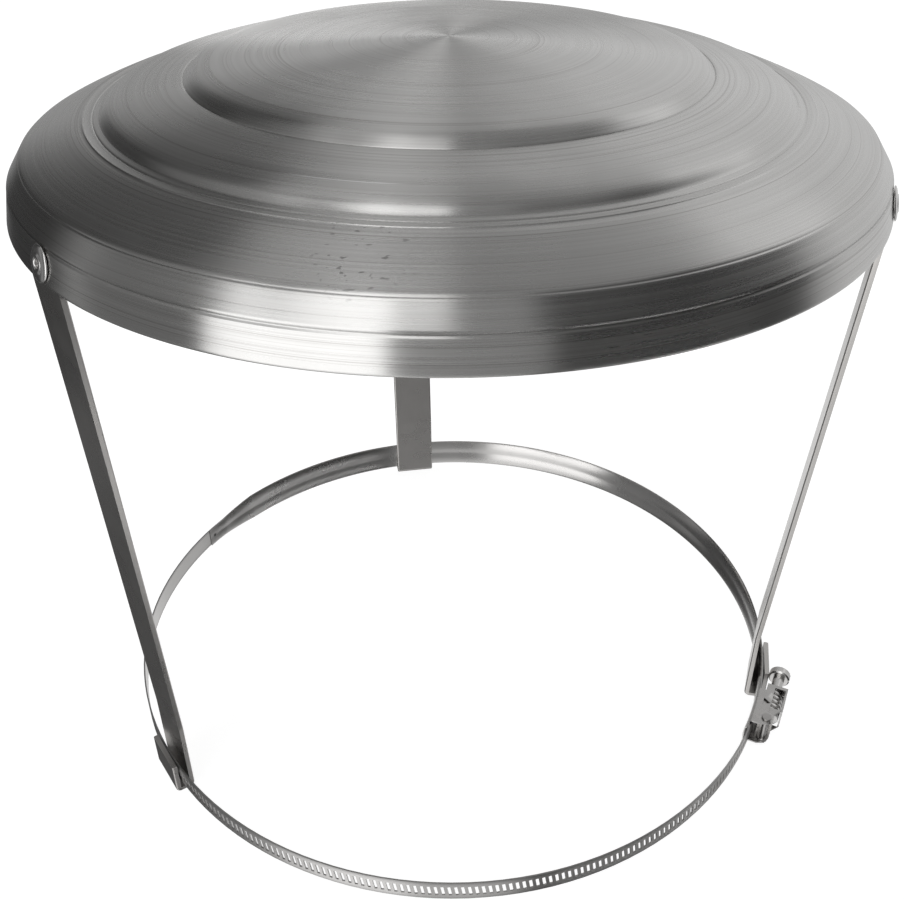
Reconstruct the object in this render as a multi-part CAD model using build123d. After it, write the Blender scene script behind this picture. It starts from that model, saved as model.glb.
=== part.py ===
from build123d import *
import os
from math import asin, atan, cos, degrees, radians, sin, sqrt, tan

# Chimney pot cap: a spun steel lid on three strip legs, which a worm-drive band
# clamp ties round the pot. Millimetres, +Z up. The origin is on the lid's axis,
# in the plane on which the three feet stand. Azimuths run from +X towards +Y.

# Spun lid: radii and rises are of its outer face, rises from the rim of the skirt
rim_height = 230.5
rim_radius = 150.0
lid_sheet = 0.8
skirt_height = 10.8
skirt_taper = 2.25
flank_height = 6.4
flank_run = 4.45
outer_zone_width = 25.3
outer_zone_rise = 10.8
middle_zone_width = 30.0
middle_zone_rise = 8.6
crown_rise = 7.9
outer_zone_bulge = 0.55
middle_zone_bulge = 0.7
groove_depth = 0.4
groove_height = 0.8
rim_bead = 0.25
rim_bead_height = 1.2

# Legs: flat strip, riveted inside the skirt and hooked outwards at the foot
leg_width = 20.0
leg_thickness = 2.0
leg_tab_height = 9.6
leg_bend_drop = 2.0
leg_seat_gap = 0.05
foot_height = 34.0
lip_height = 15.0
hook_bend_radius = 1.6
hook_inner_radius = 0.5
leg_names = ["right", "back", "left"]
leg_top_azimuths = [-21.0, 99.0, 219.0]
leg_foot_azimuths = [-12.5, 99.0, 214.5]

# Blind rivets: one holds each leg to the skirt
rivet_rise = 5.5
rivet_flange_radius = 5.6
rivet_flange_height = 1.3
rivet_dome = 0.2
rivet_shank_radius = 2.4
rivet_bulb_radius = 3.5
rivet_bulb_length = 3.2
rivet_bore_radius = 1.4
rivet_hole_gap = 0.05
rivet_lift = 0.15
mandrel_gap = 0.05
mandrel_stub = 0.5
mandrel_head_length = 1.6

# Band: a wide plain strap and a narrow slotted strap, both round the lid's axis
strap_radius = 140.0
strap_sheet = 0.6
plain_width = 15.0
plain_edge_radius = 1.2
slotted_width = 9.0
band_lift = 0.5
hook_gap = 0.3
plain_front_margin = 5.5
lap_azimuth = 153.5
lap_length = 16.0
tail_past_foot = 23.5
tail_corner = 2.5

# Slots of the slotted strap, which the worm's thread steps along
slot_pitch = 2.5
slot_width = 1.2
slot_length = 4.8
slot_slant = 9.0
slot_end_margin = 5.0
weld_radius = 1.1
weld_depth = 0.25
lap_weld_inset = 3.2

# Clamp: saddle on the plain strap, swivelling carriage, worm screw
clamp_from_foot = 13.0
saddle_sheet = 0.7
saddle_front = -8.0
saddle_back = 12.0
saddle_reach = 7.6
saddle_corner = 3.0
saddle_window = 2.0
slide_gap = 0.2
pin_station = -4.0
pin_radius = 1.2
pin_head_radius = 2.0
pin_head_height = 0.8
pin_fit = 0.02
swivel_fit = 0.05
knuckle_radius = 2.5
side_gap = 0.2
carriage_sheet = 0.6
carriage_depth = 3.4
front_wall_drop = 2.0
bridge_setback = 3.0
bridge_rim = 3.0
worm_lift = 0.5
worm_crest_radius = 4.4
worm_core_radius = 3.1
worm_thread_start = 1.2
worm_turns = 6
worm_crest_width = 0.9
thread_flank = 0.45
thread_root_depth = 0.5
worm_side_gap = 0.2
worm_end_gap = 0.3
journal_radius = 1.8
neck_radius = 2.4
screw_fit = 0.05
collar_radius = 3.6
collar_length = 1.0
neck_length = 8.0
head_radius = 4.5
head_length = 4.0
head_chamfer = 0.6
head_slot_width = 1.3
head_slot_depth = 1.8

# How near an edge lies to a level to count as on it
level_tolerance = 0.01

# Worked out from the sizes above
foot_face = sqrt((strap_radius - hook_gap) ** 2 - (leg_width / 2) ** 2)
floor_inner = strap_radius + strap_sheet
floor_outer = floor_inner + strap_sheet
slotted_inner = floor_outer + slide_gap
slotted_outer = slotted_inner + strap_sheet
lip_face = slotted_outer + hook_gap
band_height = leg_thickness + band_lift + plain_width / 2
plate_inner = slotted_width / 2 + saddle_sheet + side_gap
plate_outer = plate_inner + saddle_sheet
carriage_outer = plate_inner - side_gap
carriage_inner = carriage_outer - carriage_sheet
worm_axis = slotted_outer + worm_lift + worm_crest_radius
pin_axis = worm_axis
bridge_inner = worm_axis + worm_crest_radius + worm_side_gap
bridge_outer = bridge_inner + carriage_sheet
worm_thread_end = worm_thread_start + worm_turns * slot_pitch
front_wall = worm_thread_start - worm_end_gap
back_wall = worm_thread_end + worm_end_gap
head_start = back_wall + carriage_sheet + worm_end_gap + collar_length + neck_length
skirt_slope = degrees(atan(skirt_taper / skirt_height))
clamp_azimuth = leg_foot_azimuths[0] - clamp_from_foot
plain_start = clamp_azimuth + degrees((saddle_front - plain_front_margin) / strap_radius)
plain_end = lap_azimuth
slotted_start = lap_azimuth - 360 - degrees(lap_length / strap_radius)
slotted_end = leg_foot_azimuths[0] + degrees(tail_past_foot / strap_radius)
slots_start = leg_foot_azimuths[2] - 360


def bulged(start, end, bulge):
    """Curve from start to end that stands out to the left of the way by bulge."""
    run = end[0] - start[0]
    rise = end[1] - start[1]
    length = sqrt(run * run + rise * rise)
    control = (
        (start[0] + end[0]) / 2 - 2 * bulge * rise / length,
        (start[1] + end[1]) / 2 + 2 * bulge * run / length,
    )
    return Bezier(start, control, end)


def turned(edges, arc=360.0):
    """Solid turned about Z from a closed outline in radius and height."""
    outline = Plane.XZ * make_face(Wire(edges))
    return revolve(outline, axis=Axis.Z, revolution_arc=arc)


def lid_zones():
    """Corners of the lid's outer face, from the skirt's top to the apex."""
    skirt_top = (rim_radius - skirt_taper, rim_height + skirt_height)
    shoulder = (skirt_top[0] - flank_run, skirt_top[1] + flank_height)
    outer_step = (shoulder[0] - outer_zone_width, shoulder[1] + outer_zone_rise)
    inner_step = (outer_step[0] - middle_zone_width, outer_step[1] + middle_zone_rise)
    apex = (0.0, inner_step[1] + crown_rise)
    return skirt_top, shoulder, outer_step, inner_step, apex


def inset(point, slope):
    """Point one sheet thickness inside a face that falls outwards at slope degrees."""
    return (
        point[0] - lid_sheet * sin(radians(slope)),
        point[1] - lid_sheet * cos(radians(slope)),
    )


def zone_slope(low, high):
    return degrees(atan((high[1] - low[1]) / (low[0] - high[0])))


def skirt_radius_at(height):
    """Outer radius of the tapered skirt at a height."""
    return rim_radius - (height - rim_height) * tan(radians(skirt_slope))


def skirt_inner_at(height):
    return skirt_radius_at(height) - lid_sheet / cos(radians(skirt_slope))


def make_lid():
    skirt_top, shoulder, outer_step, inner_step, apex = lid_zones()
    slopes = [zone_slope(low, high) for low, high in
              [(shoulder, outer_step), (outer_step, inner_step), (inner_step, apex)]]
    groove_low = (skirt_radius_at(skirt_top[1] - groove_height), skirt_top[1] - groove_height)
    groove_floor = (skirt_top[0] - groove_depth, skirt_top[1] - groove_height / 2)
    bead_top = (skirt_radius_at(rim_height + rim_bead_height), rim_height + rim_bead_height)
    rim_outer = (rim_radius - rim_bead, rim_height)
    rim_inner = (skirt_inner_at(rim_height), rim_height)
    wall_top = (skirt_inner_at(skirt_top[1]), skirt_top[1])
    under_shoulder = inset(shoulder, (slopes[0] + 90 - skirt_slope) / 2)
    under_outer = inset(outer_step, (slopes[0] + slopes[1]) / 2)
    under_inner = inset(inner_step, (slopes[1] + slopes[2]) / 2)
    under_apex = (0.0, apex[1] - lid_sheet)
    return turned([
        bulged(rim_outer, bead_top, -rim_bead),
        Line(bead_top, groove_low),
        Line(groove_low, groove_floor),
        Line(groove_floor, skirt_top),
        Line(skirt_top, shoulder),
        bulged(shoulder, outer_step, -outer_zone_bulge),
        bulged(outer_step, inner_step, -middle_zone_bulge),
        Bezier(inner_step, (inner_step[0] / 2, apex[1]), apex),
        Line(apex, under_apex),
        Bezier(under_apex, (under_inner[0] / 2, under_apex[1]), under_inner),
        bulged(under_inner, under_outer, middle_zone_bulge),
        bulged(under_outer, under_shoulder, outer_zone_bulge),
        Line(under_shoulder, wall_top),
        Line(wall_top, rim_inner),
        Line(rim_inner, rim_outer),
    ])


def rivet_place(azimuth):
    """Where a rivet's flange sits on the skirt: its axis points out of the sheet."""
    height = rim_height + rivet_rise
    tilt = Rot(0, 90 - skirt_slope, 0)
    return Rot(0, 0, azimuth) * Pos(skirt_radius_at(height), 0, height) * tilt


def rivet_grip():
    """Depth from the skirt's outer face to the leg's inner face, along the rivet."""
    slope = cos(radians(skirt_slope))
    return lid_sheet + (tab_seat() + leg_thickness) * slope


def tab_seat():
    """How far a flat tab's middle stays off the round skirt that its edges touch."""
    reach = skirt_inner_at(rim_height + leg_tab_height)
    return reach - sqrt(reach ** 2 - (leg_width / 2) ** 2) + leg_seat_gap


def rivet_hole(azimuth):
    depth = rivet_grip() + 2 * rivet_flange_height
    hole = Cylinder(rivet_shank_radius + rivet_hole_gap, 2 * depth)
    return rivet_place(azimuth) * hole


def strip_outline(points):
    """A strip's side view, in radius and height, drawn out across its width."""
    side = Plane.XZ * make_face(Polyline(*points, close=True))
    return extrude(side, amount=leg_width / 2, both=True)


def hook_outline():
    """Foot, floor and lip of the hook, with both bends rounded."""
    inner = foot_face - leg_thickness
    outer = lip_face + leg_thickness
    hook = strip_outline([
        (inner, 0),
        (outer, 0),
        (outer, lip_height),
        (lip_face, lip_height),
        (lip_face, leg_thickness),
        (foot_face, leg_thickness),
        (foot_face, foot_height),
        (inner, foot_height),
    ])
    across = hook.edges().filter_by(Axis.Y)
    outer_bends = [e for e in across if e.center().Z < level_tolerance]
    hook = fillet(outer_bends, hook_bend_radius)
    across = hook.edges().filter_by(Axis.Y)
    inner_bends = [e for e in across if abs(e.center().Z - leg_thickness) < level_tolerance]
    return fillet(inner_bends, hook_inner_radius)


def leg_section(azimuth, outer_face, height):
    """A level cut through a leg."""
    place = Rot(0, 0, azimuth) * Pos(outer_face - leg_thickness / 2, 0, height)
    return place * Rectangle(leg_thickness, leg_width)


def make_leg(top_azimuth, foot_azimuth):
    tab_top = rim_height + leg_tab_height
    tab_low = rim_height - leg_bend_drop
    top_face = skirt_inner_at(tab_top) - tab_seat()
    low_face = skirt_inner_at(rim_height) - tab_seat()
    tab = Rot(0, 0, top_azimuth) * strip_outline([
        (low_face, tab_low),
        (low_face, rim_height),
        (top_face, tab_top),
        (top_face - leg_thickness, tab_top),
        (low_face - leg_thickness, rim_height),
        (low_face - leg_thickness, tab_low),
    ])
    run = loft([
        leg_section(foot_azimuth, foot_face, foot_height),
        leg_section(top_azimuth, low_face, tab_low),
    ], ruled=True)
    foot = Rot(0, 0, foot_azimuth) * hook_outline()
    return tab + run + foot - rivet_hole(top_azimuth)


def make_rivet():
    """Blind rivet, its flange on the plane z = 0 and its bulb below the leg."""
    grip = rivet_grip()
    flange_base = rivet_lift
    flange_top = flange_base + rivet_flange_height
    bulb_top = -grip - rivet_lift
    bulb_low = bulb_top - rivet_bulb_length
    return turned([
        Line((rivet_bore_radius, flange_top), (rivet_shank_radius, flange_top)),
        bulged((rivet_shank_radius, flange_top), (rivet_flange_radius, flange_base), rivet_dome),
        Line((rivet_flange_radius, flange_base), (rivet_shank_radius, flange_base)),
        Line((rivet_shank_radius, flange_base), (rivet_shank_radius, bulb_top)),
        bulged((rivet_shank_radius, bulb_top), (rivet_shank_radius, bulb_low),
               rivet_bulb_radius - rivet_shank_radius),
        Line((rivet_shank_radius, bulb_low), (rivet_bore_radius, bulb_low)),
        Line((rivet_bore_radius, bulb_low), (rivet_bore_radius, flange_top)),
    ])


def make_mandrel():
    """The broken-off nail that stays in a blind rivet, with its head under the bulb."""
    low = -rivet_grip() - rivet_lift - rivet_bulb_length
    top = rivet_lift + mandrel_stub
    radius = rivet_bore_radius - mandrel_gap
    stem = Pos(0, 0, (low + top) / 2) * Cylinder(radius, top - low)
    head = Pos(0, 0, low - mandrel_head_length / 2) * Cylinder(
        rivet_shank_radius, mandrel_head_length)
    return stem + head


def arc_place(azimuth, height=band_height):
    return Rot(0, 0, azimuth) * Pos(0, 0, height)


def weld_spot(azimuth):
    """Dimple of a spot weld in the plain strap's inner face."""
    spot = Rot(0, 90, 0) * Cylinder(weld_radius, 2 * weld_depth)
    return arc_place(azimuth) * Pos(strap_radius, 0, 0) * spot


def make_plain_strap():
    """Wide strap with both edges turned outwards, welded to the saddle and the lap."""
    web = plain_width / 2 - plain_edge_radius
    inner = strap_radius
    outer = strap_radius + strap_sheet
    edge = strap_radius + plain_edge_radius
    small = plain_edge_radius - strap_sheet
    bend = cos(radians(45))

    def turned_edge(side):
        top = plain_width / 2 * side
        step = web * side
        return [
            ThreePointArc((inner, step),
                          (edge - plain_edge_radius * bend, step + plain_edge_radius * bend * side),
                          (edge, top)),
            Line((edge, top), (edge, top - strap_sheet * side)),
            ThreePointArc((edge, top - strap_sheet * side),
                          (edge - small * bend, step + small * bend * side),
                          (outer, step)),
        ]

    outline = turned_edge(1) + [Line((outer, web), (outer, -web))]
    outline += turned_edge(-1) + [Line((inner, -web), (inner, web))]
    strap = arc_place(plain_start) * turned(outline, plain_end - plain_start)
    lap = degrees(lap_weld_inset / strap_radius)
    saddle_middle = clamp_azimuth + degrees((saddle_front + saddle_back) / 2 / strap_radius)
    return strap - [weld_spot(plain_end - lap), weld_spot(saddle_middle)]


def make_slotted_strap():
    half = slotted_width / 2
    band = Polyline((slotted_inner, -half), (slotted_outer, -half), (slotted_outer, half),
                    (slotted_inner, half), close=True).edges()
    strap = arc_place(slotted_start) * turned(band, slotted_end - slotted_start)
    tip = Vector(slotted_inner * cos(radians(slotted_end)),
                 slotted_inner * sin(radians(slotted_end)), band_height)
    level = strap.edges().filter_by(GeomType.LINE).filter_by(
        lambda e: abs((e.center() - tip).Z) > half - level_tolerance)
    corners = level.sort_by(lambda e: (e.center() - tip).length)[:2]
    strap = fillet(corners, tail_corner)
    middle = (slotted_inner + slotted_outer) / 2
    step = degrees(slot_pitch / middle)
    last = slotted_end - degrees(slot_end_margin / middle)
    count = int((last - slots_start) / step) + 1
    slot = Rot(slot_slant, 0, 0) * Box(6 * strap_sheet, slot_width, slot_length)
    slots = [arc_place(last - index * step) * Pos(middle, 0, 0) * slot for index in range(count)]
    return strap - slots


def clamp_place():
    """The clamp's own frame: X out from the axis, Y along the worm, Z across the band."""
    return Rot(0, 0, clamp_azimuth) * Pos(0, 0, band_height)


def pin_hole(radius):
    return Pos(pin_axis, pin_station, 0) * Cylinder(radius, 3 * plate_outer)


def make_saddle():
    """Floor welded to the plain strap, and two plates that carry the swivel pin."""
    reach = floor_inner + saddle_reach
    floor_start = degrees(asin(saddle_front / floor_inner))
    floor_sweep = degrees(asin(saddle_back / floor_inner)) - floor_start
    floor = Rot(0, 0, floor_start) * turned(Polyline(
        (floor_inner, -plate_outer), (floor_outer, -plate_outer),
        (floor_outer, plate_outer), (floor_inner, plate_outer), close=True).edges(), floor_sweep)
    root = strap_radius
    side = make_face(Polyline(
        (root, saddle_front), (reach - saddle_corner, saddle_front),
        (reach, saddle_front + saddle_corner / 2), (reach, saddle_back - saddle_corner),
        (reach - saddle_corner, saddle_back), (root, saddle_back), close=True))
    window_x = (floor_outer + reach) / 2
    window_y = (pin_station + pin_head_radius + saddle_back) / 2
    window = make_face(Polyline(
        (window_x - saddle_window / 2, window_y - saddle_window),
        (window_x + saddle_window, window_y),
        (window_x - saddle_window / 2, window_y + saddle_window), close=True))
    plate = extrude(side - window, amount=saddle_sheet)
    plates = [Pos(0, 0, plate_inner) * plate, Pos(0, 0, -plate_outer) * plate]
    body = floor + plates - Cylinder(floor_inner, 4 * plate_outer)
    return clamp_place() * (body - pin_hole(pin_radius + pin_fit))


def make_swivel_pin():
    stem = Cylinder(pin_radius, 2 * plate_outer)
    head = Cylinder(pin_head_radius, pin_head_height)
    offset = plate_outer + pin_head_height / 2
    pin = stem + [Pos(0, 0, offset) * head, Pos(0, 0, -offset) * head]
    return clamp_place() * Pos(pin_axis, pin_station, 0) * pin


def screw_bore(radius, start, end):
    return Pos(worm_axis, (start + end) / 2, 0) * Rot(90, 0, 0) * Cylinder(radius, end - start)


def make_carriage():
    """Folded sheet: two cheeks on the pin, two end walls round the screw, a bridge."""
    low = worm_axis - carriage_depth
    front_top = bridge_inner - front_wall_drop
    front = front_wall - carriage_sheet
    back = back_wall + carriage_sheet
    bridge_start = front_wall + bridge_setback
    knuckle = Pos(pin_axis, pin_station) * Circle(knuckle_radius)
    arm = Pos(pin_axis, (pin_station + front_wall) / 2) * Rectangle(
        2 * knuckle_radius, front_wall - pin_station)
    web = make_face(Polyline((low, front), (front_top, front), (bridge_outer, bridge_start),
                             (bridge_outer, back), (low, back), close=True))
    cheek = extrude(web + knuckle + arm, amount=carriage_sheet)

    def folded_wall(x_low, x_high, y_low, y_high, half_width=carriage_outer):
        middle = Pos((x_low + x_high) / 2, (y_low + y_high) / 2, 0)
        return middle * Box(x_high - x_low, y_high - y_low, 2 * half_width)

    body = Pos(0, 0, carriage_inner) * cheek + [
        Pos(0, 0, -carriage_outer) * cheek,
        folded_wall(low, front_top, front, front_wall),
        folded_wall(low, bridge_outer, back_wall, back),
        folded_wall(bridge_inner, bridge_outer, bridge_start, back),
    ]
    window = folded_wall(worm_axis + worm_core_radius, bridge_outer + worm_crest_radius,
                         bridge_start + bridge_rim, back_wall - bridge_rim, worm_core_radius)
    middle = (front_wall + back_wall) / 2
    neck_bore = screw_bore(neck_radius + screw_fit, middle, head_start)
    tip_bore = screw_bore(journal_radius + screw_fit, pin_station, middle)
    return clamp_place() * (body - [window, neck_bore, tip_bore, pin_hole(pin_radius + swivel_fit)])


def make_thread():
    """Left-hand worm thread, as the slots lean, cut square at both ends."""
    length = worm_turns * slot_pitch
    crest = worm_crest_width / 2
    root = crest + thread_flank
    depth = worm_crest_radius - worm_core_radius
    path = Helix(slot_pitch, length, worm_core_radius, lefthand=True)
    ridge = make_face(Polyline(
        (-thread_root_depth, -root), (0, -root), (depth, -crest),
        (depth, crest), (0, root), (-thread_root_depth, root), close=True))
    start = Plane(origin=path @ 0, x_dir=(1, 0, 0), z_dir=path % 0)
    thread = sweep(start * ridge, path=path, is_frenet=True)
    return thread & (Pos(0, 0, length / 2) * Cylinder(worm_crest_radius, length))


def make_worm():
    """Screw drawn as it lies: journal, thread, neck, collar and slotted head."""
    def stage(start, end, radius):
        return Pos(0, (start + end) / 2, 0) * Rot(90, 0, 0) * Cylinder(radius, end - start)

    tip = front_wall - carriage_sheet - worm_end_gap
    collar_start = back_wall + carriage_sheet + worm_end_gap
    body = stage(tip, worm_thread_start, journal_radius)
    body += stage(worm_thread_start, worm_thread_end, worm_core_radius)
    body += stage(worm_thread_end, head_start, neck_radius)
    body += stage(collar_start, collar_start + collar_length, collar_radius)
    body += Pos(0, worm_thread_start, 0) * Rot(-90, 0, 0) * make_thread()
    head = chamfer(Cylinder(head_radius, head_length).edges(), head_chamfer)
    slot = Pos(0, 0, head_length / 2) * Box(3 * head_radius, head_slot_width, 2 * head_slot_depth)
    body += Pos(0, head_start + head_length / 2, 0) * Rot(-90, 0, 0) * (head - slot)
    return clamp_place() * Pos(worm_axis, 0, 0) * body


os.makedirs("parts", exist_ok=True)
rivets = {name: rivet_place(azimuth) for name, azimuth in zip(leg_names, leg_top_azimuths)}
parts = {"cap_shell": make_lid() - [rivet_hole(azimuth) for azimuth in leg_top_azimuths]}
for name, top_azimuth, foot_azimuth in zip(leg_names, leg_top_azimuths, leg_foot_azimuths):
    parts["leg_" + name] = make_leg(top_azimuth, foot_azimuth)
    parts["rivet_" + name] = rivets[name] * make_rivet()
    parts["rivet_mandrel_" + name] = rivets[name] * make_mandrel()
parts["plain_strap"] = make_plain_strap()
parts["slotted_strap"] = make_slotted_strap()
parts["clamp_saddle"] = make_saddle()
parts["swivel_pin"] = make_swivel_pin()
parts["screw_carriage"] = make_carriage()
parts["worm_screw"] = make_worm()
for name, shape in parts.items():
    export_step(shape, "parts/" + name + ".step")
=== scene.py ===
from math import atan2, cos, degrees, pi, radians, sin

import bmesh
import bpy
from mathutils import Matrix, Vector


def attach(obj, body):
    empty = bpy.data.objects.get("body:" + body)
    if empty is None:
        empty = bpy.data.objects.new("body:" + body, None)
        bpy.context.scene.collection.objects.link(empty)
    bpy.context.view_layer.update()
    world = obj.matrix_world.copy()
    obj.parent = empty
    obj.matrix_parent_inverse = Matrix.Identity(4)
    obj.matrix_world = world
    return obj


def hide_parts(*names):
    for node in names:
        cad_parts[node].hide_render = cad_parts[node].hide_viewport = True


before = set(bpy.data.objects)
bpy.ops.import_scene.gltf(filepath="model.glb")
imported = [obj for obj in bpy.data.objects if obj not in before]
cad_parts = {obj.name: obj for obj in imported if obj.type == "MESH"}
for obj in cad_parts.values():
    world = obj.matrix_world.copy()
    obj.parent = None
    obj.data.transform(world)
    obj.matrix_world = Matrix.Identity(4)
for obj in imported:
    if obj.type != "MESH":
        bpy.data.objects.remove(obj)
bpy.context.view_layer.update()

MM = 0.001
MERGE_GAP = 0.002 * MM

# Azimuths in degrees of the legs' tops, their feet and the clamp, and the band's height in mm
SIDES = ("right", "back", "left")
LEG_TOPS = (-21.0, 99.0, 219.0)
LEG_FEET = (-12.5, 99.0, 214.5)
CLAMP_AZIMUTH = -25.5
BAND_MIDDLE = 10.0


# Camera: its place in metres, its lens in mm, and how far it looks down and rolls in degrees
CAMERA_PLACE = (0, -0.37256, 0.36136)
CAMERA_LENS = 42.52
CAMERA_PITCH = 34.245
CAMERA_ROLL = -0.4227


def photo_camera():
    """Camera at the photograph's place, from in front of the lid."""
    data = bpy.data.cameras.new("photo_camera")
    data.sensor_width = 36.0
    data.lens = CAMERA_LENS
    data.clip_start = 0.01
    data.clip_end = 20.0
    camera = bpy.data.objects.new("photo_camera", data)
    pitch, roll = radians(CAMERA_PITCH), radians(CAMERA_ROLL)
    forward = Vector((0, cos(pitch), -sin(pitch)))
    right = Vector((1, 0, 0))
    up = right.cross(forward)
    rolled_right = right * cos(roll) + up * sin(roll)
    rolled_up = up * cos(roll) - right * sin(roll)
    turn = Matrix((rolled_right, rolled_up, -forward)).transposed().to_4x4()
    camera.matrix_world = Matrix.Translation(CAMERA_PLACE) @ turn
    bpy.context.scene.collection.objects.link(camera)
    bpy.context.scene.camera = camera


# Node helpers

class Nodes:
    """Short calls for placing and joining the nodes of one tree."""

    def __init__(self, tree):
        self.tree = tree

    def add(self, kind, **settings):
        node = self.tree.nodes.new("ShaderNode" + kind)
        for name, value in settings.items():
            setattr(node, name, value)
        return node

    def put(self, socket, value):
        if isinstance(value, bpy.types.NodeSocket):
            self.tree.links.new(value, socket)
        elif isinstance(value, (tuple, list)) and len(value) == 3 and socket.type == "RGBA":
            socket.default_value = (*value, 1.0)
        else:
            socket.default_value = value

    def math(self, operation, *values):
        node = self.add("Math", operation=operation)
        for socket, value in zip(node.inputs, values):
            self.put(socket, value)
        return node.outputs[0]

    def between(self, value, low, high, out_low=0.0, out_high=1.0):
        node = self.add("MapRange", interpolation_type="SMOOTHSTEP")
        for socket, given in zip(node.inputs, (value, low, high, out_low, out_high)):
            self.put(socket, given)
        return node.outputs[0]

    def mix(self, share, first, second):
        node = self.add("Mix", data_type="RGBA")
        self.put(node.inputs[0], share)
        self.put(node.inputs[6], first)
        self.put(node.inputs[7], second)
        return node.outputs[2]

    def noise(self, vector, scale, detail, roughness):
        node = self.add("TexNoise")
        for name, value in (("Vector", vector), ("Scale", scale), ("Detail", detail),
                            ("Roughness", roughness)):
            self.put(node.inputs[name], value)
        return node.outputs[0]

    def object_place(self):
        return self.add("TexCoord").outputs["Object"]

    def effect(self, tree, **values):
        node = self.add("Group", node_tree=tree)
        for name, value in values.items():
            self.put(node.inputs[name], value)
        return node.outputs

    def split(self, vector):
        node = self.add("SeparateXYZ")
        self.put(node.inputs[0], vector)
        return node.outputs

    def join(self, x, y, z):
        node = self.add("CombineXYZ")
        for socket, value in zip(node.inputs, (x, y, z)):
            self.put(socket, value)
        return node.outputs[0]


def new_group(name, inputs, outputs):
    """Shader node group with named sockets; gives its helper and its two end nodes."""
    tree = bpy.data.node_groups.new(name, "ShaderNodeTree")
    for label, kind, default in inputs:
        socket = tree.interface.new_socket(label, in_out="INPUT", socket_type="NodeSocket" + kind)
        if default is not None:
            socket.default_value = default
    for label, kind in outputs:
        tree.interface.new_socket(label, in_out="OUTPUT", socket_type="NodeSocket" + kind)
    start = tree.nodes.new("NodeGroupInput")
    end = tree.nodes.new("NodeGroupOutput")
    return Nodes(tree), start.outputs, end.inputs


# Room that the steel reflects

# Grey of the walls, and of the background as matt surfaces see it
LIGHT_LEVEL = 0.36

# What stands between the steel and the white background, each by its bearing, half width,
# lowest and highest elevation, how soft its sides are (all in degrees) and how bright it is.
# A later one covers an earlier one. An opening, at 1, lets the white background show again.
ROOM = {
    "grey walls": (0.0, 190.0, -99.0, 99.0, 2.0, LIGHT_LEVEL),
    "grey wall left": (-168.0, 18.0, -85.0, 36.0, 4.0, 0.19),
    "grey wall in front": (-86.0, 22.0, -85.0, 40.0, 4.0, 0.30),
    "left window": (-127.0, 22.0, -85.0, 40.0, 1.5, 1.9),
    "dark wall in front": (-31.0, 35.0, -85.0, 56.0, 3.0, 0.05),
    "dark wall behind left": (144.0, 20.0, -85.0, 58.0, 8.0, 0.05),
    "dark corner behind": (116.0, 14.0, 24.0, 52.0, 6.0, 0.12),
    "back wall": (78.0, 12.0, 6.0, 52.0, 5.0, 0.43),
    "pale strip behind": (95.5, 5.5, 14.0, 56.0, 1.2, 0.60),
    "pale wall right": (49.0, 37.0, -85.0, 52.0, 8.0, 0.70),
    "opening right": (32.0, 12.0, 28.0, 50.0, 4.0, 1.0),
    "dim ceiling in front": (-90.0, 100.0, 62.0, 95.0, 8.0, 0.24),
    "window's top": (-116.0, 26.0, 42.0, 72.0, 1.5, 1.95),
    "dark corner left": (-147.0, 9.5, 40.0, 66.0, 2.5, 0.15),
    "far window": (97.0, 7.0, -4.0, 8.0, 3.0, 1.8),
    "pale ceiling behind": (128.0, 16.0, 56.0, 76.0, 4.0, 0.65),
    "ceiling shade": (64.0, 24.0, 58.0, 86.0, 5.0, 0.27),
    "floor": (0.0, 190.0, -95.0, -33.0, 5.0, 0.25),
    "opening by the window": (-127.0, 24.0, -95.0, -33.0, 5.0, 1.0),
    "floor in front": (-80.0, 22.0, -95.0, -44.0, 4.0, 0.85),
    "floor right": (60.0, 44.0, -95.0, -33.0, 5.0, 0.62),
    "opening low right": (79.0, 24.0, -95.0, -24.0, 5.0, 1.0),
    "dark floor left": (144.0, 24.0, -95.0, -33.0, 5.0, 0.08),
    "dark floor in front": (-31.0, 34.0, -95.0, -33.0, 5.0, 0.08),
    "lit strip of floor": (-28.0, 31.0, -43.0, -36.5, 1.5, 1.7),
}


def room_patch_group():
    """Mask of one patch of the room, as seen in a direction."""
    nodes, given, out = new_group("room_patch", (
        ("Direction", "Vector", None), ("Bearing", "Float", 0.0), ("Width", "Float", 20.0),
        ("Low", "Float", 0.0), ("High", "Float", 40.0), ("Softness", "Float", 5.0)),
        (("Mask", "Float"),))
    x, y, z = nodes.split(given["Direction"])
    bearing = nodes.math("MULTIPLY", nodes.math("ARCTAN2", y, x), degrees(1))
    elevation = nodes.math("MULTIPLY", nodes.math("ARCSINE", z), degrees(1))
    off = nodes.math("WRAP", nodes.math("SUBTRACT", bearing, given["Bearing"]), 180.0, -180.0)
    off = nodes.math("ABSOLUTE", off)
    soft = given["Softness"]
    side = nodes.between(off, nodes.math("SUBTRACT", given["Width"], soft),
                         nodes.math("ADD", given["Width"], soft), 1.0, 0.0)
    low = nodes.between(elevation, nodes.math("SUBTRACT", given["Low"], soft),
                        nodes.math("ADD", given["Low"], soft))
    high = nodes.between(elevation, nodes.math("SUBTRACT", given["High"], soft),
                         nodes.math("ADD", given["High"], soft), 1.0, 0.0)
    nodes.put(out["Mask"], nodes.math("MULTIPLY", side, nodes.math("MULTIPLY", low, high)))
    return nodes.tree


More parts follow.
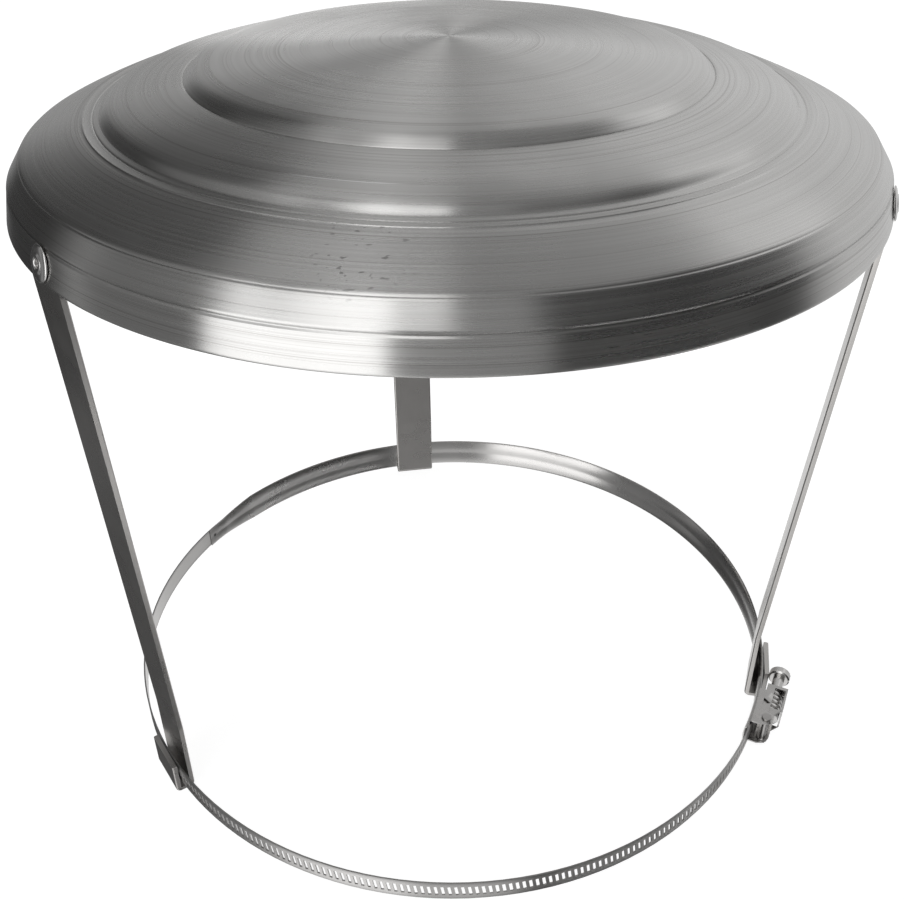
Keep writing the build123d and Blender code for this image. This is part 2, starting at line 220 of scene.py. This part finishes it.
def studio_room():
    """White background; steel sees grey walls with windows and openings in front of it."""
    world = bpy.data.worlds.new("studio_room")
    world.use_nodes = True
    world.node_tree.nodes.clear()
    nodes = Nodes(world.node_tree)
    path = nodes.add("LightPath").outputs
    past_walls = nodes.math("MAXIMUM", path["Is Camera Ray"], path["Is Transmission Ray"])
    seen = nodes.math("MAXIMUM", past_walls, path["Is Glossy Ray"])
    colour = nodes.mix(seen, (LIGHT_LEVEL,) * 3, (1.0, 1.0, 1.0))
    patch_tree = room_patch_group()
    direction = nodes.add("TexCoord").outputs["Generated"]
    for bearing, half, low, high, soft, level in ROOM.values():
        patch = nodes.effect(patch_tree, Direction=direction, Bearing=bearing, Width=half, Low=low,
                             High=high, Softness=soft)
        stands = nodes.math("MULTIPLY", patch["Mask"], nodes.math("SUBTRACT", 1.0, past_walls))
        colour = nodes.mix(stands, colour, (level,) * 3)
    background = nodes.add("Background")
    nodes.put(background.inputs["Color"], colour)
    nodes.put(nodes.add("OutputWorld").inputs["Surface"], background.outputs[0])
    bpy.context.scene.world = world


# Floor: its size and depth in metres, its grey under the lamp, and the white that it gives off
FLOOR_SIZE = 2.2
FLOOR_DROP = 0.0002
FLOOR_GREY = 0.3
FLOOR_GLOW = 0.9

# Lamp above the object, in metres and watts
LAMP_PLACE = (0.0, 0.2, 1.6)
LAMP_AIM = (0, 0, 0.1)
LAMP_SIZE = (1.2, 1.2)
LAMP_POWER = 6.0


def pale_floor():
    """Floor that the camera sees as white; the steel sees the room's painted floor instead."""
    mesh = bpy.data.meshes.new("floor")
    bm = bmesh.new()
    bmesh.ops.create_grid(bm, x_segments=1, y_segments=1, size=FLOOR_SIZE)
    bmesh.ops.translate(bm, verts=bm.verts, vec=(0, 0, -FLOOR_DROP))
    bm.to_mesh(mesh)
    bm.free()
    floor = bpy.data.objects.new("floor", mesh)
    bpy.context.scene.collection.objects.link(floor)
    material = bpy.data.materials.new("floor_white")
    material.use_nodes = True
    nodes = Nodes(material.node_tree)
    shader = material.node_tree.nodes["Principled BSDF"]
    nodes.put(shader.inputs["Base Color"], (FLOOR_GREY,) * 3)
    shader.inputs["Roughness"].default_value = 0.9
    shader.inputs["Specular IOR Level"].default_value = 0.1
    path = nodes.add("LightPath").outputs
    seen = nodes.math("MAXIMUM", path["Is Camera Ray"],
                      nodes.math("MAXIMUM", path["Is Glossy Ray"], path["Is Transmission Ray"]))
    nodes.put(shader.inputs["Emission Color"], (1.0, 1.0, 1.0))
    nodes.put(shader.inputs["Emission Strength"], nodes.math("MULTIPLY", seen, FLOOR_GLOW))
    mesh.materials.append(material)
    floor.visible_glossy = False


def soft_lamp(name, place, aim, size, power):
    """Soft light that the steel itself doesn't show."""
    data = bpy.data.lights.new(name, "AREA")
    data.shape = "RECTANGLE"
    data.size, data.size_y = size
    data.energy = power
    lamp = bpy.data.objects.new(name, data)
    lamp.location = place
    lamp.rotation_mode = "QUATERNION"
    lamp.rotation_quaternion = (Vector(aim) - Vector(place)).to_track_quat("-Z", "Y")
    lamp.visible_glossy = False
    bpy.context.scene.collection.objects.link(lamp)


# Materials

# How much height counts against radius in telling the lid's tool lines apart
LINE_LEAN = -1.7

# Smallest radius in metres that a bearing is worked out with
AXIS_RADIUS = 0.0005


def round_place_group():
    """Where a point lies round the lid's axis: radius in mm, and a seamless bearing."""
    nodes, given, out = new_group("round_place", (("Stretch", "Float", 1.0),),
                                  (("Radius", "Float"), ("Grain", "Vector")))
    x, y, z = nodes.split(nodes.object_place())
    radius = nodes.math("SQRT", nodes.math("ADD", nodes.math("MULTIPLY", x, x),
                                           nodes.math("MULTIPLY", y, y)))
    safe = nodes.math("MAXIMUM", radius, AXIS_RADIUS)
    leaning = nodes.math("ADD", radius, nodes.math("MULTIPLY", z, LINE_LEAN))
    lean = nodes.math("MULTIPLY", leaning, 1 / MM)
    across = [nodes.math("MULTIPLY", nodes.math("DIVIDE", v, safe), given["Stretch"]) for v in (x, y)]
    nodes.put(out["Radius"], nodes.math("MULTIPLY", radius, 1 / MM))
    nodes.put(out["Grain"], nodes.join(lean, *across))
    return nodes.tree


def steel(name, colour, rough, anisotropy=0.0):
    """Bare bright steel; gives the material, its node helper and its shader."""
    material = bpy.data.materials.new(name)
    material.use_nodes = True
    nodes = Nodes(material.node_tree)
    shader = material.node_tree.nodes["Principled BSDF"]
    nodes.put(shader.inputs["Base Color"], colour)
    shader.inputs["Metallic"].default_value = 1.0
    shader.inputs["Roughness"].default_value = rough
    shader.inputs["Anisotropic"].default_value = anisotropy
    return material, nodes, shader


def near_point_group():
    """1 at a point in metres, falling to 0 at its reach."""
    nodes, given, out = new_group("near_point", (("Point", "Vector", None), ("Reach", "Float", 0.01)),
                                  (("Mask", "Float"),))
    gap = nodes.add("VectorMath", operation="DISTANCE")
    nodes.put(gap.inputs[0], nodes.object_place())
    nodes.put(gap.inputs[1], given["Point"])
    half = nodes.math("MULTIPLY", given["Reach"], 0.5)
    nodes.put(out["Mask"], nodes.between(gap.outputs["Value"], half, given["Reach"], 1.0, 0.0))
    return nodes.tree


def mottle_group():
    """Mottle of rolled steel: a mask for its tone, and its roughness."""
    nodes, given, out = new_group("mottle", (("Scale", "Float", 70.0), ("Rough", "Float", 0.3),
                                             ("Spread", "Float", 0.05)),
                                  (("Tone", "Float"), ("Roughness", "Float")))
    noise = nodes.noise(nodes.object_place(), given["Scale"], 3.0, 0.5)
    nodes.put(out["Tone"], nodes.between(noise, 0.2, 0.8))
    smooth = nodes.math("SUBTRACT", given["Rough"], given["Spread"])
    dull = nodes.math("ADD", given["Rough"], given["Spread"])
    nodes.put(out["Roughness"], nodes.between(noise, 0.15, 0.85, smooth, dull))
    return nodes.tree


# Turn of the grain against the tangent, in whole turns
QUARTER_TURN = 0.25


def run_round(nodes, shader):
    """Grain that runs round the lid's axis."""
    tangent = nodes.add("Tangent", direction_type="RADIAL", axis="Z")
    nodes.put(shader.inputs["Tangent"], tangent.outputs[0])
    shader.inputs["Anisotropic Rotation"].default_value = QUARTER_TURN


# Scratch on the lid: its radius in mm, and its middle and reach in metres
SCRATCH_RADIUS = 107.0
SCRATCH_MIDDLE = (-0.0286, -0.1031, 0.2632)
SCRATCH_REACH = 0.020
SCRATCH_COLOUR = (0.95, 0.95, 0.95)

# Pitted place on the lid, in metres, and how fine its pits are
PITTED_MIDDLE = (-0.0215, -0.1300, 0.2550)
PITTED_REACH = 0.017
PIT_SCALE = 850.0
PIT_COLOUR = (0.14, 0.135, 0.13)

# Tool lines: how far they run round before they change, and how fine each set is
LINE_STRETCH = 0.22
LINE_SCALE = 1.5
RING_SCALE = 0.5
SCORED_SCALE = 0.13
LINE_COLOUR = (0.44, 0.43, 0.42)
LINE_SHARE = 0.8
DARK_RING = (0.56, 0.555, 0.545)
PALE_RING = (0.615, 0.61, 0.60)
SMUDGE_SCALE = 22.0
BUMP_STRENGTH = 0.4
BUMP_DEPTH = 0.1 * MM


def spun_steel():
    """Lid finish: spun sheet, lines left by the tool on some rings, a scratch, a few pits."""
    material, nodes, shader = steel("spun_lid_steel", (0.58, 0.575, 0.565), 0.28, 0.96)
    round_place = nodes.effect(ROUND_PLACE, Stretch=LINE_STRETCH)
    grain = round_place["Grain"]
    lines = nodes.noise(grain, LINE_SCALE, 2.0, 0.6)
    rings = nodes.noise(grain, RING_SCALE, 1.0, 0.5)
    scored = nodes.between(nodes.noise(grain, SCORED_SCALE, 0.0, 0.5), 0.44, 0.58, 0.3, 1.2)
    place = nodes.object_place()
    smudge = nodes.noise(place, SMUDGE_SCALE, 3.0, 0.55)
    tone = nodes.mix(nodes.between(rings, 0.3, 0.7), DARK_RING, PALE_RING)
    score = nodes.math("MULTIPLY", nodes.between(lines, 0.52, 0.68),
                       nodes.math("MULTIPLY", scored, LINE_SHARE))
    tone = nodes.mix(score, tone, LINE_COLOUR)
    off = nodes.math("ABSOLUTE", nodes.math("SUBTRACT", round_place["Radius"], SCRATCH_RADIUS))
    scratch = nodes.math("MULTIPLY", nodes.between(off, 0.1, 0.35, 0.7, 0.0),
                         nodes.effect(NEAR_POINT, Point=SCRATCH_MIDDLE, Reach=SCRATCH_REACH)["Mask"])
    tone = nodes.mix(scratch, tone, SCRATCH_COLOUR)
    x, y, z = nodes.split(place)
    drawn_out = nodes.join(nodes.math("MULTIPLY", x, 0.5), y, z)
    pits = nodes.between(nodes.noise(drawn_out, PIT_SCALE, 1.0, 0.5), 0.66, 0.71)
    pitted = nodes.effect(NEAR_POINT, Point=PITTED_MIDDLE, Reach=PITTED_REACH)["Mask"]
    pits = nodes.math("MULTIPLY", pits, nodes.math("MULTIPLY", pitted, 0.6))
    tone = nodes.mix(pits, tone, PIT_COLOUR)
    nodes.put(shader.inputs["Base Color"], tone)
    rough = nodes.math("ADD", nodes.between(smudge, 0.3, 0.7, 0.25, 0.30),
                       nodes.between(rings, 0.3, 0.7, -0.015, 0.02))
    nodes.put(shader.inputs["Roughness"], rough)
    run_round(nodes, shader)
    bump = nodes.add("Bump")
    bump.inputs["Strength"].default_value = BUMP_STRENGTH
    bump.inputs["Distance"].default_value = BUMP_DEPTH
    height = nodes.math("ADD", nodes.math("MULTIPLY", lines, nodes.math("MULTIPLY", scored, 0.55)),
                        nodes.math("MULTIPLY", rings, 0.4))
    nodes.put(bump.inputs["Height"], height)
    nodes.put(shader.inputs["Normal"], bump.outputs[0])
    return material


# Strips and hardware: how dark the mottle gets, the painted shade along the band's edges and the
# near-black spot at its lap
STRIP_DARKEST = 0.92
STRIP_GRAIN = 0.85
# Painted shade along the band's top and bottom edges: its colour, its greatest share, and where it
# starts as a share of its reach
EDGE_SHADE_COLOUR = (0.2, 0.2, 0.2)
EDGE_SHADE_SHARE = 0.45
EDGE_SHADE_START = 0.65
# Near-black spot at the lap: its colour and its reach
LAP_SPOT_COLOUR = (0.03, 0.03, 0.03)
LAP_SPOT_REACH = 1.6 * MM
HARDWARE_DARKEST = 0.80


def darker(colour, share):
    return tuple(share * part for part in colour)


def strip_steel(name, colour, rough, anisotropy=STRIP_GRAIN, edge_shade_reach=0.0, lap_spot=None):
    """Rolled strip: grain round the axis and a faint mottle, and where asked painted shade along its
    edges or a near-black spot at the lap.
    """
    material, nodes, shader = steel(name, colour, rough, anisotropy)
    mottle = nodes.effect(MOTTLE, Scale=70.0, Rough=rough, Spread=0.03)
    tone = nodes.mix(mottle["Tone"], darker(colour, STRIP_DARKEST), colour)
    # Painted shade: the colour darkens towards the band's top and bottom edges
    if edge_shade_reach:
        height = nodes.split(nodes.object_place())[2]
        height = nodes.math("ABSOLUTE", nodes.math("SUBTRACT", height, BAND_MIDDLE * MM))
        edge = nodes.between(height, EDGE_SHADE_START * edge_shade_reach, edge_shade_reach, 0.0, EDGE_SHADE_SHARE)
        tone = nodes.mix(edge, tone, EDGE_SHADE_COLOUR)
    # Near-black spot painted at the lap, darkest at its middle
    if lap_spot:
        spot = nodes.effect(NEAR_POINT, Point=lap_spot, Reach=LAP_SPOT_REACH)["Mask"]
        tone = nodes.mix(spot, tone, LAP_SPOT_COLOUR)
    nodes.put(shader.inputs["Base Color"], tone)
    nodes.put(shader.inputs["Roughness"], mottle["Roughness"])
    run_round(nodes, shader)
    return material


def rolled_steel(name, colour, rough):
    """Small hardware with a faint mottle."""
    material, nodes, shader = steel(name, colour, rough)
    mottle = nodes.effect(MOTTLE, Scale=160.0, Rough=rough, Spread=0.06)
    tone = nodes.mix(mottle["Tone"], darker(colour, HARDWARE_DARKEST), colour)
    nodes.put(shader.inputs["Base Color"], tone)
    nodes.put(shader.inputs["Roughness"], mottle["Roughness"])
    return material


# Pieces

def finished(bm, name, material, body, replaces):
    """Turn a bmesh into a smooth-shaded piece that rides on a body."""
    bmesh.ops.remove_doubles(bm, verts=bm.verts, dist=MERGE_GAP)
    bmesh.ops.recalc_face_normals(bm, faces=bm.faces)
    mesh = bpy.data.meshes.new(name)
    bm.to_mesh(mesh)
    bm.free()
    mesh.materials.append(material)
    piece = bpy.data.objects.new(name, mesh)
    bpy.context.scene.collection.objects.link(piece)
    mesh.shade_smooth()
    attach(piece, body)
    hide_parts(*replaces)
    return piece


def curve_points(start, control, end, count):
    """Points along a quadratic curve, its first point left out."""
    return [tuple(a * (1 - t) ** 2 + 2 * b * t * (1 - t) + c * t * t
                  for a, b, c in zip(start, control, end))
            for t in (i / count for i in range(1, count + 1))]


def spin_outline(bm, points, steps):
    """Turn a chain of (radius, height) points in mm about Z."""
    verts = [bm.verts.new((r * MM, 0, z * MM)) for r, z in points]
    edges = [bm.edges.new(pair) for pair in zip(verts, verts[1:])]
    bmesh.ops.spin(bm, geom=verts + edges, cent=(0, 0, 0), axis=(0, 0, 1), angle=2 * pi,
                   steps=steps, use_merge=True, use_duplicate=False)


# The lid's outer face in mm, as radii, and heights above the plane of the feet: the rim's
# rounding as a start, a corner and an end, then the skirt with its groove
RIM_ROUNDING = ((149.75, 230.5), (150.0, 231.0), (149.75, 231.7))
SKIRT = ((149.4, 233.4), (148.5, 237.7), (147.95, 240.15), (147.9, 240.25), (147.35, 240.55),
         (147.25, 240.85), (147.65, 241.25), (147.75, 241.3), (147.2, 242.1), (144.0, 246.7),
         (143.3, 247.7))
SKIRT_END = 241.4
LID_STEPS = 360
ZONE_STEPS = 4

# Inner face of the skirt, from its top down, and what the sheet's thickness takes off above it
INSIDE_SKIRT = ((147.0, 240.4), (149.2, 230.9), (149.35, 230.5))
FLANK_RADIUS = 143.0
INWARDS = 0.40
DOWN = 0.72

# Each zone of the lid from its outer edge inwards, as the corners of a smooth run
OUTER_ZONE = ((143.3, 247.7), (142.9, 248.2), (142.5, 248.4), (142.1, 248.85), (141.3, 249.35),
              (138.0, 250.95), (131.0, 253.95), (124.5, 256.45), (122.0, 257.1), (121.4, 257.5),
              (120.8, 257.45), (119.5, 257.4), (118.7, 257.45), (118.25, 257.3))
MIDDLE_ZONE = ((118.25, 257.3), (117.8, 257.6), (116.6, 257.9), (115.8, 258.35), (113.4, 260.55),
               (109.8, 262.2), (104.0, 263.85), (97.0, 265.15), (91.5, 266.0), (88.9, 266.15),
               (88.45, 265.85))
CROWN = ((88.45, 265.85), (87.8, 266.5), (84.6, 268.95), (81.0, 270.05), (76.0, 270.75),
         (66.0, 271.65), (50.0, 272.8), (34.0, 273.8), (20.0, 274.55), (8.0, 274.95), (0.0, 275.0))


def zone_run(corners):
    """Smooth run through a zone's corners, each a point that the curve passes through."""
    ends = [corners[0]] + list(corners) + [corners[-1]]
    run = []
    for a, b, c, d in zip(ends, ends[1:], ends[2:], ends[3:]):
        for i in range(1, ZONE_STEPS + 1):
            t = i / ZONE_STEPS
            run.append(tuple(
                0.5 * (2 * q + (r - p) * t + (2 * p - 5 * q + 4 * r - s) * t * t
                       + (3 * q - p - 3 * r + s) * t ** 3)
                for p, q, r, s in zip(a, b, c, d)))
    return run


def lid():
    """Spun sheet, closed round its rim; the inner face needs only every third point."""
    face = [RIM_ROUNDING[0], *curve_points(*RIM_ROUNDING, 4), *SKIRT]
    for zone in (OUTER_ZONE, MIDDLE_ZONE, CROWN):
        face += zone_run(zone)
    above_skirt = [point for point in reversed(face) if point[1] > SKIRT_END]
    inside = [(r - INWARDS * (r > FLANK_RADIUS), z - DOWN) for r, z in above_skirt[::3]]
    bm = bmesh.new()
    spin_outline(bm, face + inside + [*INSIDE_SKIRT, face[0]], LID_STEPS)
    finished(bm, "spun_lid", SPUN_STEEL, "cap_frame", ["cap_shell"])


def shade_edges(piece, angle):
    """Keeps edges sharp where faces meet at more than an angle in degrees."""
    piece.data.set_sharp_from_angle(angle=radians(angle))


def even_normals(piece):
    """Keeps flat faces flat beside their rounded edges."""
    piece.modifiers.new("even_normals", "WEIGHTED_NORMAL").keep_sharp = True


# Legs, in mm: flat strip with the corners of its inner face rounded
LEG_WIDTH = 20.0
LEG_THICKNESS = 2.0
LEG_EDGE = 0.7

# Foot: radii and tops of the hook's lip and of its upright side, and how its middle bends
LIP_MIDDLE = 143.3
LIP_TOP = 15.0
FOOT_MIDDLE = 138.34
FOOT_TOP = 34.0
HOOK_BEND = 1.1
HOOK_STEPS = 6

# How much of the top's facing a foot keeps, and how far its turned edges may near the strap
TWIST_SHARE = 0.75
STRAP_CLEAR = 0.25

# Tab under the skirt, as radii and heights, and the cuts between it and the foot
TAB_LOW = (147.79, 228.5)
TAB_BEND = (147.79, 230.5)
TAB_TOP = (145.79, 240.1)
LEG_STEPS = 16


def strip_place(azimuth, radius, height, lean, twist=0.0, out=0.0):
    """Place on an azimuth: twist turns it about its upright and lean in its upright plane."""
    place = Matrix.Rotation(radians(azimuth), 4, "Z") @ Matrix.Translation((radius * MM, 0, 0))
    place = place @ Matrix.Rotation(radians(twist), 4, "Z")
    place = place @ Matrix.Translation((out * MM, 0, height * MM))
    return place @ Matrix.Rotation(radians(-lean), 4, "Y")


def leg_cuts(top, foot):
    """Cuts along a leg, from the lip's top edge round the hook and up to the tab."""
    high = LEG_THICKNESS / 2 + HOOK_BEND
    twist = TWIST_SHARE * (top - foot)
    foot_middle = FOOT_MIDDLE - max(LEG_WIDTH / 2 * abs(sin(radians(twist))) - STRAP_CLEAR, 0)
    turns = [90 * i / HOOK_STEPS for i in range(HOOK_STEPS + 1)]
    cuts = [strip_place(foot, LIP_MIDDLE, z, 0) for z in (LIP_TOP, LIP_TOP - 1, high + 1)]
    for t in turns:
        a = radians(t)
        cuts.append(strip_place(foot, LIP_MIDDLE - HOOK_BEND + HOOK_BEND * cos(a),
                                high - HOOK_BEND * sin(a), -t))
    for t in turns:
        a = radians(t)
        cuts.append(strip_place(foot, foot_middle, high - HOOK_BEND * cos(a), -90 - t, twist,
                                HOOK_BEND - HOOK_BEND * sin(a)))
    for z in (high + 1, FOOT_TOP - 1, FOOT_TOP):
        cuts.append(strip_place(foot, foot_middle, z, -180, twist))
    low, up = cuts[-1], strip_place(top, *TAB_LOW, -180)
    cuts += [low + (up - low) * (i / LEG_STEPS) for i in range(1, LEG_STEPS + 1)]
    cuts += [strip_place(top, *point, -180) for point in (TAB_BEND, TAB_TOP)]
    return cuts


def strip_leg(side, top, foot):
    """Strip grown from the lip's end along its cuts, up to the tab's end."""
    bm = bmesh.new()
    bmesh.ops.create_grid(bm, x_segments=1, y_segments=1, size=0.5)
    bmesh.ops.scale(bm, verts=bm.verts, vec=(LEG_THICKNESS * MM, LEG_WIDTH * MM, 1))
    inner_corners = [v for v in bm.verts if v.co.x > 0]
    bmesh.ops.bevel(bm, geom=inner_corners, offset=LEG_EDGE * MM, offset_type="OFFSET", segments=4,
                    profile=0.5, affect="VERTICES", material=-1)
    cuts = leg_cuts(top, foot)
    bmesh.ops.transform(bm, matrix=cuts[0], verts=bm.verts)
    end = bm.faces[:]
    for here, there in zip(cuts, cuts[1:]):
        grown = bmesh.ops.extrude_face_region(bm, geom=end)["geom"]
        end = [part for part in grown if isinstance(part, bmesh.types.BMFace)]
        verts = [part for part in grown if isinstance(part, bmesh.types.BMVert)]
        bmesh.ops.transform(bm, matrix=there @ here.inverted(), verts=verts)
    leg = finished(bm, "strip_leg_" + side, LEG_STEEL, "cap_frame", ["leg_" + side])
    shade_edges(leg, 50)
    even_normals(leg)


# Blind rivet, from the bulb's end round the shank and flange to the bore, in mm
RIVET_OUTLINE = (
    (1.4, -6.45), (2.5, -6.45), (3.2, -5.9), (3.5, -4.9), (3.2, -3.8), (2.4, -3.35), (2.4, 0.16),
    (5.3, 0.16), (5.54, 0.25), (5.58, 0.45), (5.4, 0.66), (4.9, 0.88), (4.1, 1.04), (3.4, 1.10),
    (3.05, 1.14), (2.9, 1.28), (2.65, 1.40), (2.3, 1.44), (1.9, 1.42), (1.58, 1.30), (1.45, 1.05),
    (1.4, 0.6))
RIVET_STEPS = 64

# Where a rivet sits: its height and radius in mm, and the skirt's slope there in degrees
RIVET_HEIGHT = 236.0
RIVET_SEAT = 148.854
SKIRT_SLOPE = 11.768


def rivet(side, top):
    """Blind rivet, square to the skirt."""
    bm = bmesh.new()
    spin_outline(bm, RIVET_OUTLINE + RIVET_OUTLINE[:1], RIVET_STEPS)
    place = strip_place(top, RIVET_SEAT, RIVET_HEIGHT, 0)
    bmesh.ops.transform(bm, verts=bm.verts,
                        matrix=place @ Matrix.Rotation(radians(90 - SKIRT_SLOPE), 4, "Y"))
    finished(bm, "blind_rivet_" + side, RIVET_STEEL, "cap_frame", ["rivet_" + side])


# Plain strap's section, from the middle of its inner face: radius, and height from the middle
STRAP_HALF = ((140.32, 0.0), (140.28, 0.6), (140.12, 1.6), (140.02, 2.8), (140.0, 3.4),
              (140.03, 4.2), (140.12, 5.2), (140.25, 6.0), (140.42, 6.6), (140.75, 7.15),
              (141.08, 7.44), (141.2, 7.5), (141.2, 6.95), (140.95, 6.75), (140.7, 6.45),
              (140.6, 6.2))

# Where the strap and its taper start and end, in degrees, and the share of its width left
STRAP_START = -31.0
STRAP_END = 153.5
STRAP_STEPS = 246
TAPER_START = 140.5
TAPER_END = 149.0
TAPERED_SHARE = 0.70

# Radius that the strap is flattened towards at the lap, and how far
LAP_RADIUS = 141.3
FLAT_SHARE = 0.85


def share_along(value, low, high):
    """0 at low, 1 at high, and even between."""
    return min(max((value - low) / (high - low), 0), 1)


def plain_strap():
    """Wide strap with turned edges, narrowed and flattened towards the lap."""
    upper = [(r, BAND_MIDDLE + h) for r, h in STRAP_HALF]
    lower = [(r, BAND_MIDDLE - h) for r, h in reversed(STRAP_HALF[1:])]
    bm = bmesh.new()
    verts = [bm.verts.new((r * MM, 0, z * MM)) for r, z in upper + lower]
    face = bm.faces.new(verts)
    bmesh.ops.rotate(bm, verts=bm.verts, cent=(0, 0, 0),
                     matrix=Matrix.Rotation(radians(STRAP_START), 3, "Z"))
    bmesh.ops.spin(bm, geom=[face], cent=(0, 0, 0), axis=(0, 0, 1),
                   angle=radians(STRAP_END - STRAP_START), steps=STRAP_STEPS,
                   use_duplicate=False)
    for vert in bm.verts:
        turn = degrees(atan2(vert.co.y, vert.co.x))
        narrow = 1 - (1 - TAPERED_SHARE) * share_along(turn, TAPER_START, TAPER_END)
        vert.co.z = (BAND_MIDDLE + (vert.co.z / MM - BAND_MIDDLE) * narrow) * MM
        flat = FLAT_SHARE * share_along(turn, TAPER_END, STRAP_END)
        vert.co.xy *= 1 + flat * (LAP_RADIUS * MM / vert.co.xy.length - 1)
    strap = finished(bm, "rolled_strap", STRAP_STEEL, "band", ["plain_strap"])
    shade_edges(strap, 60)


def box_at(low, high):
    """Box in the clamp's own frame: out from the axis, along the screw, across the band."""
    bm = bmesh.new()
    bmesh.ops.create_cube(bm, size=1.0)
    bmesh.ops.scale(bm, verts=bm.verts, vec=[(b - a) * MM for a, b in zip(low, high)])
    bmesh.ops.translate(bm, verts=bm.verts, vec=[(a + b) / 2 * MM for a, b in zip(low, high)])
    place = Matrix.Translation((0, 0, BAND_MIDDLE * MM))
    place = Matrix.Rotation(radians(CLAMP_AZIMUTH), 4, "Z") @ place
    bmesh.ops.transform(bm, matrix=place, verts=bm.verts)
    return bm


def as_object(bm, name):
    """Object that holds a bmesh while it is cut."""
    mesh = bpy.data.meshes.new(name)
    bm.to_mesh(mesh)
    bm.free()
    thing = bpy.data.objects.new(name, mesh)
    bpy.context.scene.collection.objects.link(thing)
    return thing


def cut_away(bm, low, high):
    """The same shape without what lies in a box of the clamp's frame."""
    blank, cutter = as_object(bm, "blank"), as_object(box_at(low, high), "cutter")
    cut = blank.modifiers.new("cut", "BOOLEAN")
    cut.operation, cut.solver, cut.object = "DIFFERENCE", "EXACT", cutter
    left = bmesh.new()
    left.from_object(blank, bpy.context.evaluated_depsgraph_get())
    for thing in (blank, cutter):
        mesh = thing.data
        bpy.data.objects.remove(thing)
        bpy.data.meshes.remove(mesh)
    return left


# Smallest angle between faces whose edge is rounded, and largest between faces that are one
SHARP_ANGLE = 40
FLAT_ANGLE = 1

# Windows in the clamp's side plates, as the lowest and highest corner of a box
SADDLE_WINDOW = ((147.0, -1.0, -9.0), (150.0, 14.0, 9.0))
CARRIAGE_WINDOW = ((146.9, 3.4, -9.0), (151.45, 15.5, 9.0))


def eased(node_name, name, rounding, material, body, cut=None):
    """Copy of a CAD node with its sharp edges rounded, and a box cut away from it."""
    bm = bmesh.new()
    bm.from_mesh(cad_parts[node_name].data)
    bmesh.ops.remove_doubles(bm, verts=bm.verts, dist=MERGE_GAP)
    bmesh.ops.dissolve_limit(bm, angle_limit=radians(FLAT_ANGLE), verts=bm.verts, edges=bm.edges)
    sharp = [edge for edge in bm.edges
             if len(edge.link_faces) == 2 and edge.calc_face_angle() > radians(SHARP_ANGLE)]
    bmesh.ops.bevel(bm, geom=sharp, offset=rounding * MM, offset_type="OFFSET", segments=2,
                    profile=0.5, affect="EDGES", material=-1, clamp_overlap=True)
    if cut:
        bm = cut_away(bm, *cut)
    piece = finished(bm, name, material, body, [node_name])
    shade_edges(piece, 60)
    even_normals(piece)


# The finishes: each shader's effects first, then the metals themselves
ROUND_PLACE = round_place_group()
NEAR_POINT = near_point_group()
MOTTLE = mottle_group()
SPUN_STEEL = spun_steel()
LEG_STEEL = strip_steel("leg_strip_steel", (0.55, 0.535, 0.52), 0.28, anisotropy=0.0)
# Near-black spot at the lap, in metres
LAP_SPOT = (-0.12384, 0.06529, 0.010)
STRAP_STEEL = strip_steel("strap_steel", (0.62, 0.61, 0.60), 0.28, lap_spot=LAP_SPOT)
# Slotted strap with painted shade along its edges, from 2.9 mm to 4.5 mm off its middle
SLOTTED_STEEL = strip_steel("slotted_strap_steel", (0.62, 0.61, 0.60), 0.32, edge_shade_reach=0.0045)
CLAMP_STEEL = rolled_steel("clamp_plate_steel", (0.56, 0.55, 0.54), 0.26)
RIVET_STEEL = rolled_steel("rivet_metal", (0.74, 0.73, 0.72), 0.20)
PIN_STEEL = rolled_steel("pin_metal", (0.50, 0.49, 0.48), 0.35)
SCREW_STEEL = rolled_steel("screw_metal", (0.66, 0.65, 0.64), 0.25)

# Finish of every CAD node, also of those that a piece replaces
FINISHES = {
    "cap_shell": SPUN_STEEL, "plain_strap": STRAP_STEEL, "slotted_strap": SLOTTED_STEEL,
    "clamp_saddle": CLAMP_STEEL, "screw_carriage": CLAMP_STEEL, "swivel_pin": PIN_STEEL,
    "worm_screw": SCREW_STEEL,
}
for side in SIDES:
    FINISHES["leg_" + side] = LEG_STEEL
    FINISHES["rivet_" + side] = RIVET_STEEL
    FINISHES["rivet_mandrel_" + side] = PIN_STEEL

photo_camera()
studio_room()
pale_floor()
soft_lamp("ceiling_softbox", LAMP_PLACE, LAMP_AIM, LAMP_SIZE, LAMP_POWER)
for node_name, finish in FINISHES.items():
    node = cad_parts[node_name]
    for place in node.material_slots:
        place.material = finish
lid()
for side, top, foot in zip(SIDES, LEG_TOPS, LEG_FEET):
    strip_leg(side, top, foot)
    rivet(side, top)
plain_strap()
eased("clamp_saddle", "eased_saddle", 0.12, CLAMP_STEEL, "band", SADDLE_WINDOW)
eased("screw_carriage", "eased_carriage", 0.12, CLAMP_STEEL, "carriage",
      CARRIAGE_WINDOW)
eased("swivel_pin", "eased_pin", 0.2, PIN_STEEL, "band")

bpy.context.scene.view_settings.view_transform = "Standard"
